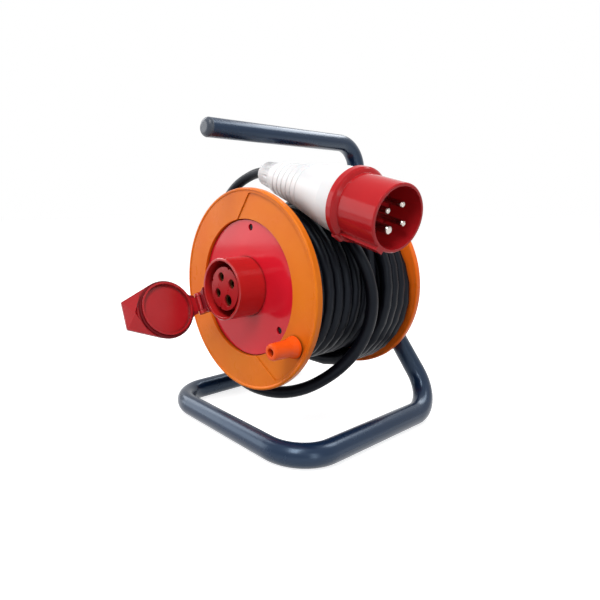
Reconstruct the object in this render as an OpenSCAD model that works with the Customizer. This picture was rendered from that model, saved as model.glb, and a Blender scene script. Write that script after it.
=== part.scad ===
// Cable reel: a drum of heavy cord that turns on a bent tube stand.
// The drum face carries an industrial socket with a hinged lid and a crank knob,
// and the free end of the cord carries the matching plug.

/* [Drum] */
// Diameter of both flanges
flange_d = 180; // [176:1:200]
// Width over the flange rims
drum_w = 141.6; // [136:0.2:150]
// Depth of a flange rim
rim_depth = 6; // [5:0.5:8]
// Thickness of a flange web
web_t = 3.5; // [3:0.25:4.5]
// Height of the axle above the floor
axle_h = 127.5; // [124:0.5:134]
// Outside diameter of the winding core
core_d = 90; // [84:1:94]
// Wall of the winding core
core_wall = 3; // [2.5:0.5:4]

/* [Face plate] */
// Diameter of the round face plate
plate_d = 122; // [116:1:126]
// Thickness of the face plate
plate_t = 3; // [2:0.5:4]
// How far the plate face lies below the flange face
plate_sink = 3; // [1.5:0.5:4]
// Radius at which the plate screws sit
plate_screw_at = 54; // [50:0.5:56]

/* [Socket] */
// Outside diameter of the socket at its mouth
socket_d = 54; // [52:0.5:56]
// Diameter of the flange that holds the socket behind the face plate
socket_base_d = 63; // [62:0.5:64]
// How far the socket stands out of the flange face
socket_reach = 26; // [22:1:32]
// Wall of the socket sleeve
socket_wall = 2.5; // [2:0.25:3]
// Diameter of the contact carrier inside the socket
carrier_d = 38; // [36:0.5:39]
// Radius of the contact circle, shared by socket and plug
contact_at = 11; // [10.5:0.25:11.5]
// Diameter of a phase pin
phase_pin_d = 5; // [4.5:0.1:5.2]
// Diameter of the earth pin
earth_pin_d = 7; // [6.5:0.1:7.2]

/* [Lid] */
// How far the lid stands open, from closed
lid_open = 93; // [60:1:115]
// Direction of the lid hinge round the socket
hinge_dir = 209; // [180:1:240]
// Thickness of the lid disc
lid_t = 2.25; // [2:0.25:3]
// Length of the thumb tab past the disc
tab_len = 13.5; // [8:0.5:16]

/* [Crank knob] */
// Distance of the knob from the drum axis
knob_at = 76; // [75:0.5:77]
// Direction of the knob round the drum
knob_dir = -33; // [-40:0.5:-30]
// Diameter of the knob at its foot
knob_base_d = 18; // [16:0.5:19]
// Diameter of the knob at its end
knob_end_d = 13.2; // [12:0.2:15]
// Length of the knob
knob_len = 26; // [20:1:34]

/* [Stand] */
// Outside diameter of the stand tube
tube_d = 18; // [16:0.5:19]
// Wall of the stand tube
tube_wall = 1.5; // [1:0.25:2]
// Height of the handle's centre line
handle_h = 269.2; // [266:0.2:290]
// How far the handle reaches past the drum's front face
handle_reach = 39; // [20:1:60]
// Distance between the centre lines of the base sides
base_w = 177.4; // [170:0.2:190]
// How far the base reaches past the drum's front face
base_reach = 20; // [10:1:40]
// Gap between the drum's rear face and the stand
stand_gap = 12.3; // [11:0.1:16]
// Bend radius of the base corners, at the centre line
base_bend = 34; // [30:1:40]
// Bend radius at the back of the handle
handle_bend = 28; // [26:1:40]

/* [Axle] */
// Diameter of the axle
axle_d = 14; // [12:0.5:16]
// Thickness of the axle plate on the stand
axle_plate_t = 4; // [3:0.5:5]

/* [Plug] */
// Length of the plug from gland to mouth
plug_len = 170; // [164:1:174]
// Outside diameter of the plug shroud
shroud_d = 54; // [52:0.5:55]
// Diameter of the plug's locking collar
collar_d = 63; // [61:0.5:64]
// Widest diameter of the plug housing
housing_d = 57; // [54:0.5:57.5]
// How far the plug's mouth points down
plug_tilt = 15; // [14:0.2:17]

/* [Cord] */
// Outside diameter of the cord
cord_d = 10.5; // [10:0.1:10.8]
// Layers of cord on the core
cord_layers = 3; // [2:1:3]

/* [Hidden] */

round_fn = 96;
small_fn = 40;

// Clearances
seat_gap = 0.05;      // between a part and the seat it sits in
running_gap = 0.06;   // radial, between a shaft and its bearing
loose_gap = 0.3;      // between parts that must never touch
end_play = 0.4;       // along the axle

// Drum, measured in the axle frame: z = 0 is the outer face of the front flange,
// +z points out of the drum's front, +y up and +x to the right
flange_r = flange_d / 2;
core_r = core_d / 2;
plate_r = plate_d / 2;
rim_w = 3;
rim_lip = 0.8;
rim_round = 1.2;
dish_wall = 3;
dish_floor = 4.4;
dish_r = plate_r + loose_gap;
dish_outer_r = dish_r + dish_wall;
dish_depth = plate_sink + plate_t;
dish_back = -dish_depth - dish_floor;
rear_inner = -(drum_w - rim_depth);
rear_outer = -drum_w;
groove_depth = 1.5;
socket_opening_r = 33;

// Shallow panel moulded in the front flange round the knob
panel_depth = 1.2;
panel_outer_r = flange_r - rim_w - 1.5;
panel_turn = 12;
panel_edge = [[3, plate_r], [24, 81]];

// Plate screws
plate_screw_dirs = [83, -37, 203];
plate_screw_r = 1.5;
plate_screw_head_r = 2.7;
plate_screw_head_t = 1.6;
plate_screw_len = 6;
plate_screw_sink = 1.2;

// Core and its screw posts
post_at = core_r - core_wall - 4;
post_r = 5;
post_dirs = [75, 165, 255, 345];
post_len = 24;
core_screw_r = 2;
core_screw_head_r = 3.8;
core_screw_head_t = 2.6;
core_web_t = 4;
core_web_front = -60;
hub_r = 13;
bush_wall = 2.44;
bush_flange_r = 12;
bush_flange_t = 1.5;
bush_len = 18;
bush_r = axle_d / 2 + running_gap + bush_wall;
rear_boss_len = 4.8;
washer_t = 1.6;
washer_r = 13;

// Axle, along the axle frame's z axis
axle_r = axle_d / 2;
plate_face = rear_outer - stand_gap + axle_plate_t;
axle_plate_r = 24;
axle_plate_drop = 30;
axle_plate_spread = 8;
axle_plate_lift = 4;
spigot_r = 5;
axle_thread_r = 5;
front_bush_face = core_web_front + bush_flange_t;
front_washer_back = front_bush_face + end_play;
axle_shoulder = front_washer_back;
nut_h = 8;
nut_af = 17;
axle_front = axle_shoulder + washer_t + nut_h + 1.5;
rear_boss_face = rear_outer - rear_boss_len;

// Socket
socket_r = socket_d / 2;
socket_base_r = socket_base_d / 2;
socket_base_t = 2.5;
plate_hole_r = socket_r + 0.15;
sleeve_in_r = socket_r - socket_wall;
carrier_r = carrier_d / 2;
carrier_sink = 4;
carrier_flange_r = carrier_r + 4;
carrier_flange_t = 4;
socket_ledge_back = -18;
socket_ledge_t = 3;
socket_tail_r = socket_r - 0.5;
key_w = 6;
key_depth = 1.2;
key_dir = -63;
socket_screw_at = 29.3;
socket_screw_r = 1.2;
socket_screw_head_r = 2.2;
socket_screw_head_t = 1.4;
socket_screw_len = 6.3;
contact_dirs = [27, 117, 207];
earth_dir = 297;
contact_wall = 1.5;
contact_tail = 3;
contact_tail_wall = 1.2;
contact_floor = 6;
contact_slot_from = 10;
contact_slot_w = 0.8;
vent_r = 1.4;
pin_fit = 0.1;
contact_front_sink = 2;

// Lid
mouth_z = socket_reach;
seal_t = 1.6;
seal_gap = 0.15;
lid_under = mouth_z + seal_gap + seal_t;
hinge_z = lid_under - 0.25;
hinge_at = socket_r + 7.5;
lid_r = socket_r - 0.9;
spigot_ring_r = sleeve_in_r - 0.4;
spigot_ring_wall = 1.8;
spigot_depth = 3.6;
knuckle_r = 3;
hinge_pin_r = 1.2;
knuckle_half = 6.5;
ear_gap = 0.3;
ear_t = 3;
ear_drop = 11;
tab_tip_half = 12;

// Crank knob
knob_floor = -panel_depth;
knob_washer_t = 0.8;
knob_play = 0.25;
knob_back = knob_floor + knob_washer_t + knob_play;
knob_front = knob_back + knob_len;
knob_pin_r = 2;
knob_head_r = 3;
knob_head_t = 2.6;
knob_recess_r = 3.3;
knob_recess = 7.5;
play_under_head = 0.25;
knob_boss_r = 6.5;
knob_boss_back = -8.6;

// Stand, in the stand frame: y = 0 is the drum's front face
tube_r = tube_d / 2;
stand_y = drum_w + stand_gap + tube_r;
base_half = base_w / 2;
leg_top = axle_h + 7.5;
weld_lap = 0.4;
leg_lean = atan(base_half / (leg_top - tube_r));
leg_len = norm([base_half, leg_top - tube_r]);
cap_dome = 5;
cap_stem = 14;

// Inner end of the cord
lead_dir = 120;
lead_z = -38;
lead_inner_r = 17;
cord_r = cord_d / 2;
grommet_r = 7.4;
grommet_flange_r = 9.5;
grommet_flange_t = 1.5;
clamp_at = 28;
clamp_len = 10;
clamp_post_at = 10;
clamp_screw_r = 1.7;
clamp_bar_t = 4;
wire_r = 1.3;
wire_split = 1.9;
wire_bend = 3;
wires = [[contact_dirs[1], -1, 1], [contact_dirs[2], 1, 1], [contact_dirs[0], -1, -1]];
earth_wire = [earth_dir, 1, -1];

// Winding
winding_gap = 0.3;
layer_pitch = 9.15;
winding_r = core_r + cord_d + (cord_layers - 1) * layer_pitch;
winding_front = dish_back - winding_gap;
winding_back = rear_inner + winding_gap;
extra_turns = 3.5;

// Plug frame: z = 0 is the gland end, +z points out of the mouth, +x points down
plug_from = [-23.5, 50.5, 234];
plug_turn = -6;
shroud_r = shroud_d / 2;
shroud_wall = 2.6;
shroud_in_r = shroud_r - shroud_wall;
collar_r = collar_d / 2;
collar_t = 8;
collar_z = plug_len - 46.5;
housing_r = housing_d / 2;
housing_wall = 2.8;
gland_len = 22;
gland_r = 13;
neck_r = gland_r + 2.2;
gland_bore_r = cord_r + 0.1;
pin_back = plug_len - 44;
pin_front = plug_len - 2;
pin_floor = plug_len - 31;
pin_step = 0.4;
plug_key_dir = -30;
plug_pin_dirs = [63, 153, 243];
plug_earth_dir = -27;

// Outline of the plug housing: share of its length, share of its growth in radius
housing_shape = [[0, 0], [0.06, 0.12], [0.4, 0.42], [0.72, 0.85], [0.86, 1], [1, 1]];
grip_rings = 6;
grip_pitch = 8;
grip_from = 12;
grip_r = 1.1;

// The stand's centre in depth, so that the whole part straddles y = 0
lid_tip = hinge_at + lid_r + tab_len;
front_most = -hinge_z - lid_tip * sin(lid_open);
depth_mid = (front_most + stand_y + tube_r) / 2;

// Free cord: from its last touch on the winding, once round the drum, to the plug.
// Points are in the stand frame.
tail_points = [
    [10, 68, 206.2], [26, 68, 202.9], [42, 67, 196], [57, 65, 186], [69, 63, 172],
    [78, 66, 157], [83, 71, 140], [85, 74, 120], [82, 74, 99], [74, 71, 79],
    [63, 65, 62], [49, 56, 47], [32, 45, 35], [12, 35, 28], [-10, 27, 27],
    [-32, 23, 31], [-54, 21, 43], [-74, 20, 63], [-87, 20, 90], [-92, 21, 120],
    [-92.5, 25, 150], [-90, 32, 178], [-82, 40, 203], [-68, 46.5, 222.5], [-48, 50.5, 233]
];

function unit(v) = v / norm(v);
function dir_at(a) = [cos(a), sin(a), 0];

// ---- shared shapes -------------------------------------------------------------

module on_stand() {
    translate([0, -depth_mid, 0]) children();
}

module on_axle() {
    on_stand() translate([0, 0, axle_h]) rotate([90, 0, 0]) children();
}

module on_plug() {
    on_stand() translate(plug_from) rotate([0, 90 + plug_tilt, plug_turn]) children();
}

module on_hinge(angle) {
    on_axle() rotate([0, 0, hinge_dir]) translate([hinge_at, 0, hinge_z])
        rotate([0, angle, 0]) children();
}

module at_knob() {
    rotate([0, 0, knob_dir]) translate([knob_at, 0, 0]) children();
}

module on_knob() {
    on_axle() at_knob() children();
}

module spread(radius, dirs) {
    for (a = dirs) rotate([0, 0, a]) translate([radius, 0, 0]) children();
}

// Round bar between two heights
module rod(r, z0, z1, fn = small_fn) {
    translate([0, 0, z0]) cylinder(r = r, h = z1 - z0, $fn = fn);
}

// Ring between two heights
module ring(r_out, r_in, z0, z1, fn = round_fn) {
    difference() {
        rod(r_out, z0, z1, fn);
        rod(r_in, z0 - 1, z1 + 1, fn);
    }
}

// Flat shape with round corners, drawn from [0, 0]
module soft_rect(w, h, r) {
    translate([r, 0]) square([w - 2 * r, h]);
    translate([0, r]) square([w, h - 2 * r]);
    for (x = [r, w - r], y = [r, h - r]) translate([x, y]) circle(r = r, $fn = 24);
}

// Screw with its head's top at z = 0 and its shank pointing to -z
module screw(head_r, head_t, shank_r, length) {
    difference() {
        union() {
            rotate_extrude($fn = small_fn) polygon([
                [0, 0], [head_r * 0.75, 0], [head_r, -head_t * 0.45],
                [head_r, -head_t], [0, -head_t]
            ]);
            rod(shank_r, -length, -head_t + 0.01);
        }
        for (a = [0, 90]) rotate([0, 0, a])
            translate([-head_r * 0.6, -head_r * 0.12, -head_t * 0.5])
            cube([head_r * 1.2, head_r * 0.24, head_t]);
    }
}

// Quarter bend of a bar: enters along +x at the origin, leaves along +z
module elbow(bend, r) {
    translate([0, 0, bend]) rotate([90, 0, 0]) rotate([0, 0, -90])
        rotate_extrude(angle = 90, $fn = round_fn) translate([bend, 0]) circle(r = r, $fn = small_fn);
}

// ---- stand ---------------------------------------------------------------------

// Handle and upright as one bar; the lower end runs on to where the legs meet
module handle_bar(r, past) {
    back = stand_y - handle_bend;
    translate([0, -handle_reach - past, handle_h]) rotate([-90, 0, 0])
        rod(r, 0, back + handle_reach + past);
    translate([0, back, handle_h]) mirror([0, 0, 1]) rotate([0, 0, 90]) elbow(handle_bend, r);
    translate([0, stand_y, 0]) rod(r, leg_top, handle_h - handle_bend);
}

// Front bar, both sides and both legs; the legs are mitred where they meet
module base_bar(r) {
    front = -base_reach + base_bend;
    back = stand_y - base_bend;
    translate([-base_half + base_bend, -base_reach, tube_r]) rotate([0, 90, 0])
        rod(r, 0, base_w - 2 * base_bend);
    for (side = [0, 1]) mirror([side, 0, 0]) {
        translate([base_half - base_bend, -base_reach, tube_r]) rotate([-90, 0, 0]) elbow(base_bend, r);
        translate([base_half, 0, tube_r]) {
            rotate([-90, 0, 0]) {
                rod(r, front, back);
                rod(r - weld_lap, back - weld_lap, back + weld_lap * 2);
            }
            intersection() {
                rotate([0, -leg_lean, 0]) translate([0, back, 0]) {
                    rotate([0, 0, 90]) elbow(base_bend, r);
                    translate([0, base_bend, 0]) rod(r, base_bend, leg_len + tube_d);
                }
                translate([-base_half - weld_lap, 0, -base_half])
                    cube([base_w, stand_y * 2, handle_h * 2]);
            }
        }
    }
}

module base_loop() {
    color("darkslategray") on_stand() difference() {
        base_bar(tube_r);
        base_bar(tube_r - tube_wall);
        translate([0, stand_y, 0]) rod(tube_r - tube_wall, leg_top, leg_top + tube_d * 2);
    }
}

module handle_tube() {
    color("darkslategray") on_stand() difference() {
        handle_bar(tube_r, 0);
        handle_bar(tube_r - tube_wall, 1);
        for (side = [0, 1]) mirror([side, 0, 0]) translate([base_half, stand_y, tube_r])
            rotate([0, -leg_lean, 0]) rod(tube_r + seat_gap, base_bend, leg_len + tube_d * 2);
    }
}

module handle_end_cap() {
    color("black") on_stand() translate([0, -handle_reach, handle_h]) rotate([90, 0, 0]) {
        rotate_extrude($fn = round_fn) {
            intersection() {
                square([tube_r, cap_dome]);
                union() {
                    square([tube_r, 1]);
                    translate([0, cap_dome - tube_r * 0.55]) square([tube_r * 0.45, tube_r * 0.55]);
                    translate([tube_r * 0.45, cap_dome - tube_r * 0.55])
                        circle(r = tube_r * 0.55, $fn = small_fn);
                }
            }
        }
        rod(tube_r - tube_wall - seat_gap, -cap_stem, cap_dome / 4);
    }
}

// Welded across the two legs where they meet, just behind the drum
module axle_plate() {
    top_half = axle_plate_r - axle_plate_lift;
    foot_half = axle_plate_r + axle_plate_spread;
    color("slategray") on_axle() difference() {
        union() {
            rod(axle_plate_r, plate_face - axle_plate_t, plate_face, round_fn);
            translate([0, 0, plate_face - axle_plate_t]) linear_extrude(axle_plate_t) polygon([
                [-top_half, axle_plate_lift], [top_half, axle_plate_lift],
                [foot_half, -axle_plate_drop], [-foot_half, -axle_plate_drop]
            ]);
        }
        rod(spigot_r + seat_gap, plate_face - axle_plate_t - 1, plate_face + 1);
    }
}

module axle() {
    color("silver") on_axle() {
        rod(spigot_r, plate_face - axle_plate_t, plate_face);
        rod(axle_r, plate_face, axle_shoulder);
        rod(axle_thread_r, axle_shoulder, axle_front);
    }
}

module rear_washer() {
    color("silver") on_axle()
        ring(washer_r, axle_r + seat_gap * 2, plate_face, plate_face + washer_t, small_fn);
}

module front_washer() {
    color("silver") on_axle()
        ring(washer_r, axle_thread_r + seat_gap * 2, axle_shoulder, axle_shoulder + washer_t, small_fn);
}

module axle_nut() {
    corner_r = nut_af / 2 / cos(30);
    back = axle_shoulder + washer_t;
    color("silver") on_axle() difference() {
        intersection() {
            rod(corner_r, back, back + nut_h, 6);
            rotate_extrude($fn = small_fn) translate([0, back]) polygon([
                [0, 0], [nut_af / 2 + 0.2, 0], [corner_r + 0.1, 1],
                [corner_r + 0.1, nut_h - 1], [nut_af / 2, nut_h], [0, nut_h]
            ]);
        }
        rod(axle_thread_r + seat_gap, axle_shoulder, axle_front + 1);
    }
}

// ---- drum ----------------------------------------------------------------------

module flange_rim(z0, z1) {
    rotate_extrude($fn = round_fn) translate([flange_r - rim_w, z0])
        soft_rect(rim_w, z1 - z0, rim_round);
}

// Area of the knob panel, seen from the front
module panel_area() {
    rotate([0, 0, panel_turn]) polygon([
        panel_edge[0], panel_edge[1], [flange_d, flange_d * 0.55], [flange_d, -flange_d * 0.55],
        [panel_edge[1][0], -panel_edge[1][1]], [panel_edge[0][0], -panel_edge[0][1]]
    ]);
}

module front_flange() {
    color("darkorange") on_axle() difference() {
        union() {
            flange_rim(-rim_depth, rim_lip);
            rotate_extrude($fn = round_fn) polygon([
                [socket_opening_r, dish_back], [dish_outer_r, dish_back],
                [dish_outer_r, -web_t], [flange_r - rim_w + 0.5, -web_t],
                [flange_r - rim_w + 0.5, 0], [dish_r, 0], [dish_r, -dish_depth],
                [socket_opening_r, -dish_depth]
            ]);
            at_knob() rod(knob_boss_r, knob_boss_back, -web_t + 0.5);
        }
        translate([0, 0, -panel_depth]) linear_extrude(panel_depth + 1) intersection() {
            panel_area();
            difference() {
                circle(r = panel_outer_r, $fn = round_fn);
                circle(r = dish_r - 1, $fn = round_fn);
            }
        }
        spread(plate_screw_at, plate_screw_dirs) rod(plate_screw_r, dish_back - 1, 0);
        at_knob() rod(knob_pin_r + seat_gap, knob_boss_back - 1, 1);
        ring(core_r + seat_gap, core_r - core_wall - seat_gap, dish_back - 1, dish_back + groove_depth);
        spread(post_at, post_dirs) {
            rod(core_screw_r + loose_gap, dish_back - 1, 0);
            rod(core_screw_head_r + loose_gap, -dish_depth - core_screw_head_t, 0);
        }
    }
}

module rear_flange() {
    boss_r = hub_r + 3;
    color("orangered") on_axle() difference() {
        union() {
            flange_rim(rear_outer, rear_inner);
            rod(flange_r - rim_w + 0.5, rear_inner - web_t, rear_inner, round_fn);
            rod(boss_r, rear_boss_face, rear_inner + 14);
            for (a = [15:30:345]) rotate([0, 0, a])
                translate([boss_r - 1, -1, rear_outer]) cube([flange_r - rim_w - boss_r + 1.5, 2, rim_depth - web_t]);
            ring(core_r + 6, core_r + 3.5, rear_outer, rear_inner - web_t + 0.5);
            spread(post_at, post_dirs) rod(6, rear_outer, rear_inner - web_t + 0.5);
        }
        rod(bush_r, rear_boss_face - 1, rear_inner + 15);
        ring(core_r + seat_gap, core_r - core_wall - seat_gap, rear_inner - groove_depth, rear_inner + 1);
        spread(post_at, post_dirs) {
            rod(core_screw_r + loose_gap, rear_outer - 1, rear_inner + 1);
            rod(core_screw_head_r + loose_gap, rear_outer - 1, rear_outer + core_screw_head_t);
        }
    }
}

module drum_core() {
    core_front = dish_back + groove_depth;
    core_back = rear_inner - groove_depth;
    color("orange") on_axle() difference() {
        union() {
            ring(core_r, core_r - core_wall, core_back, core_front);
            ring(core_r - core_wall + 0.5, hub_r - 1, core_web_front - core_web_t, core_web_front);
            ring(hub_r, bush_r, core_web_front - bush_len, core_web_front);
            intersection() {
                rod(core_r - 0.5, core_back, core_front, round_fn);
                spread(post_at, post_dirs) {
                    rod(post_r, rear_inner, rear_inner + post_len);
                    rod(post_r, dish_back - post_len, dish_back);
                }
            }
        }
        rod(bush_r, core_web_front - bush_len - 1, core_web_front + 1);
        spread(post_at, post_dirs) {
            rod(core_screw_r, rear_inner - 1, rear_inner + post_len - 2);
            rod(core_screw_r, dish_back - post_len + 2, dish_back + 1);
        }
        rotate([0, 0, lead_dir]) translate([0, 0, lead_z]) rotate([0, 90, 0])
            rod(grommet_r, core_r - 8, core_r + 4);
        for (s = [-1, 1]) rotate([0, 0, lead_dir])
            translate([clamp_at, s * clamp_post_at, 0])
            rod(clamp_screw_r, core_web_front - core_web_t - 1, core_web_front + 1);
    }
}

module bush(face) {
    difference() {
        union() {
            rod(bush_r - seat_gap, face - bush_len + 1, face, round_fn);
            rod(bush_flange_r, face, face + bush_flange_t, round_fn);
        }
        rod(axle_r + running_gap, face - bush_len, face + bush_flange_t + 1, round_fn);
    }
}

module front_bush() {
    color("ivory") on_axle() bush(core_web_front);
}

module rear_bush() {
    color("ivory") on_axle() translate([0, 0, rear_boss_face]) mirror([0, 0, 1]) bush(0);
}

module rear_flange_screws() {
    color("silver") on_axle() spread(post_at, post_dirs)
        translate([0, 0, rear_outer]) mirror([0, 0, 1])
        screw(core_screw_head_r, core_screw_head_t, core_screw_r, 22);
}

module front_flange_screws() {
    color("silver") on_axle() spread(post_at, post_dirs)
        translate([0, 0, -dish_depth])
        screw(core_screw_head_r, core_screw_head_t, core_screw_r, 22);
}

// ---- face plate and socket -----------------------------------------------------

module face_plate() {
    color("crimson") on_axle() difference() {
        rotate_extrude($fn = round_fn) polygon([
            [plate_hole_r, -dish_depth], [plate_r, -dish_depth],
            [plate_r, -plate_sink - 0.6], [plate_r - 0.6, -plate_sink],
            [plate_hole_r, -plate_sink]
        ]);
        spread(plate_screw_at, plate_screw_dirs) {
            rod(plate_screw_r + loose_gap, -dish_depth - 1, 0);
            rod(plate_screw_head_r + loose_gap, -plate_sink - plate_screw_sink - plate_screw_head_t, 0);
        }
        spread(socket_screw_at, post_dirs) rod(socket_screw_r, -dish_depth - 1, -plate_sink - 0.6);
    }
}

module plate_screws() {
    color("black") on_axle() spread(plate_screw_at, plate_screw_dirs)
        translate([0, 0, -plate_sink - plate_screw_sink])
        screw(plate_screw_head_r, plate_screw_head_t, plate_screw_r, plate_screw_len);
}

module socket_body() {
    flange_front = -dish_depth - seat_gap;
    color("red") on_axle() difference() {
        union() {
            rotate_extrude($fn = round_fn) polygon([
                [carrier_r + seat_gap, socket_ledge_back], [socket_tail_r, socket_ledge_back],
                [socket_tail_r, flange_front - socket_base_t],
                [socket_base_r, flange_front - socket_base_t], [socket_base_r, flange_front],
                [socket_r, flange_front], [socket_r, mouth_z - 0.6], [socket_r - 0.6, mouth_z],
                [sleeve_in_r + 0.4, mouth_z], [sleeve_in_r, mouth_z - 0.4],
                [sleeve_in_r, socket_ledge_back + socket_ledge_t],
                [carrier_r + seat_gap, socket_ledge_back + socket_ledge_t]
            ]);
            rotate([0, 0, hinge_dir]) hinge_ears();
        }
        rotate([0, 0, key_dir]) translate([sleeve_in_r - 1, -key_w / 2, 0])
            cube([1 + key_depth, key_w, socket_reach * 2]);
        spread(socket_screw_at, post_dirs)
            rod(socket_screw_r + loose_gap, flange_front - socket_base_t - 1, flange_front + 1);
    }
}

// Side view of a hinge ear, from the sleeve out to the hinge pin
module ear_profile() {
    union() {
        translate([hinge_at, hinge_z]) circle(r = knuckle_r, $fn = small_fn);
        polygon([
            [socket_r - 1.4, hinge_z - ear_drop], [socket_r + 2, hinge_z - ear_drop + 1],
            [hinge_at + knuckle_r * 0.7, hinge_z - knuckle_r * 0.7],
            [hinge_at, hinge_z], [socket_r + 2.5, hinge_z],
            [socket_r + 1.5, mouth_z - 1], [socket_r - 1.4, mouth_z - 1]
        ]);
    }
}

// Two ears and the bracket that joins them under the knuckle
module hinge_ears() {
    for (s = [-1, 1]) {
        y0 = s > 0 ? knuckle_half + ear_gap : -knuckle_half - ear_gap - ear_t;
        translate([0, y0 + ear_t, 0]) rotate([90, 0, 0]) linear_extrude(ear_t) difference() {
            ear_profile();
            translate([hinge_at, hinge_z]) circle(r = hinge_pin_r, $fn = small_fn);
        }
    }
    between = knuckle_half + ear_gap + 0.5;
    translate([0, between, 0]) rotate([90, 0, 0]) linear_extrude(2 * between) polygon([
        [socket_r - 1.4, hinge_z - ear_drop], [socket_r + 2, hinge_z - ear_drop + 1],
        [hinge_at - 0.5, hinge_z - knuckle_r - 0.9], [hinge_at - knuckle_r - 0.9, mouth_z],
        [socket_r + 1.5, mouth_z - 1], [socket_r - 1.4, mouth_z - 1]
    ]);
}

module socket_screws() {
    seat = -dish_depth - seat_gap - socket_base_t - socket_screw_head_t;
    color("silver") on_axle() spread(socket_screw_at, post_dirs)
        translate([0, 0, seat]) mirror([0, 0, 1])
        screw(socket_screw_head_r, socket_screw_head_t, socket_screw_r, socket_screw_len);
}

module contact_carrier() {
    carrier_back = socket_ledge_back - carrier_flange_t;
    color("firebrick") on_axle() difference() {
        union() {
            rod(carrier_r, carrier_back, mouth_z - carrier_sink, round_fn);
            rod(carrier_flange_r, carrier_back, socket_ledge_back, round_fn);
        }
        spread(contact_at, contact_dirs)
            rod(contact_r(phase_pin_d) + seat_gap, carrier_back - 1, mouth_z);
        spread(contact_at, [earth_dir])
            rod(contact_r(earth_pin_d) + seat_gap, carrier_back - 1, mouth_z);
        spread(carrier_r, [for (a = contact_dirs) a + 45]) rod(vent_r, 0, mouth_z);
    }
}

function contact_r(pin_d) = pin_d / 2 + pin_fit + contact_wall;

module contact_sleeve(pin_d) {
    back = socket_ledge_back - carrier_flange_t;
    front = mouth_z - carrier_sink - contact_front_sink;
    difference() {
        union() {
            rod(contact_r(pin_d), back, front);
            rod(wire_r + contact_tail_wall, back - contact_tail, back);
        }
        rod(pin_d / 2 + pin_fit, back + contact_floor, front + 1);
        translate([-contact_slot_w / 2, 0, back + contact_slot_from])
            cube([contact_slot_w, pin_d, front]);
    }
}

module phase_contacts() {
    color("goldenrod") on_axle() spread(contact_at, contact_dirs) contact_sleeve(phase_pin_d);
}

module earth_contact() {
    color("gold") on_axle() spread(contact_at, [earth_dir]) contact_sleeve(earth_pin_d);
}

// ---- lid -----------------------------------------------------------------------

module lid_hinge_pin() {
    half = knuckle_half + ear_gap + ear_t;
    color("silver") on_hinge(0) rotate([-90, 0, 0]) rod(hinge_pin_r, -half, half);
}

// Drawn closed: the disc's centre is at x = -hinge_at, the socket's mouth below it.
// The tab's sides run on from the disc's edge without a corner.
module lid() {
    under = lid_under - hinge_z;
    tab_tip = -lid_r - tab_len;
    tab_meets = atan2(tab_tip_half, -tab_tip) + acos(lid_r / norm([tab_tip, tab_tip_half]));
    color("firebrick") on_hinge(lid_open) difference() {
        union() {
            translate([-hinge_at, 0, under]) {
                rotate_extrude($fn = round_fn) polygon([
                    [0, 0], [lid_r, 0], [lid_r, lid_t - 0.6], [lid_r - 0.8, lid_t],
                    [lid_r - 7, lid_t], [lid_r - 8.5, lid_t + 1.4], [0, lid_t + 1.4]
                ]);
                ring(spigot_ring_r, spigot_ring_r - spigot_ring_wall, -spigot_depth, 0.5);
                linear_extrude(lid_t) polygon([
                    lid_r * [-cos(tab_meets), sin(tab_meets)], [tab_tip, tab_tip_half],
                    [tab_tip, -tab_tip_half], lid_r * [-cos(tab_meets), -sin(tab_meets)]
                ]);
                for (x = [2:3.5:tab_len - 1]) translate([-lid_r - x, -tab_tip_half + 2, lid_t - 0.2])
                    cube([1.2, tab_tip_half * 2 - 4, 0.9]);
            }
            rotate([-90, 0, 0]) rod(knuckle_r, -knuckle_half, knuckle_half);
            translate([-hinge_at + lid_r - 3, -knuckle_half, under])
                cube([hinge_at - lid_r + 3, 2 * knuckle_half, lid_t]);
        }
        rotate([-90, 0, 0]) rod(hinge_pin_r + running_gap, -knuckle_half - 1, knuckle_half + 1);
    }
}

module lid_seal() {
    under = lid_under - hinge_z;
    color("darkred") on_hinge(lid_open) translate([-hinge_at, 0, under])
        ring(lid_r - 0.4, spigot_ring_r + seat_gap, -seal_t, 0);
}

// ---- crank knob ----------------------------------------------------------------

module knob_pin() {
    top = knob_front - knob_recess + knob_head_t;
    color("silver") on_knob() translate([0, 0, top])
        screw(knob_head_r, knob_head_t, knob_pin_r, top - knob_boss_back);
}

module knob_washer() {
    color("silver") on_knob()
        ring(knob_base_d / 2 - 2, knob_pin_r + seat_gap, knob_floor, knob_floor + knob_washer_t, small_fn);
}

module crank_knob() {
    base_r = knob_base_d / 2;
    end_r = knob_end_d / 2;
    color("orange") on_knob() difference() {
        rotate_extrude($fn = round_fn) polygon([
            [0, knob_back], [base_r - 0.5, knob_back], [base_r, knob_back + 0.8],
            [base_r - 0.4, knob_back + 3], [end_r + 0.5, knob_back + 8],
            [end_r, knob_front - 2], [end_r - 0.5, knob_front - 0.6],
            [end_r - 1.4, knob_front], [0, knob_front]
        ]);
        rod(knob_pin_r + running_gap, knob_back - 1, knob_front);
        rod(knob_recess_r, knob_front - knob_recess - play_under_head, knob_front + 1);
    }
}

// ---- inner end of the cord -----------------------------------------------------

module on_lead() {
    on_axle() rotate([0, 0, lead_dir]) translate([0, 0, lead_z]) children();
}

module entry_grommet() {
    inner = sqrt(pow(core_r - core_wall, 2) - pow(grommet_flange_r, 2)) - seat_gap;
    outer = sqrt(pow(core_r, 2) - pow(grommet_r, 2)) - seat_gap;
    color("dimgray") on_lead() rotate([0, 90, 0]) difference() {
        union() {
            rod(grommet_r - seat_gap, inner - 0.5, outer);
            rod(grommet_flange_r, inner - grommet_flange_t, inner);
        }
        rod(cord_r + seat_gap, inner - 5, outer + 5);
    }
}

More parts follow.
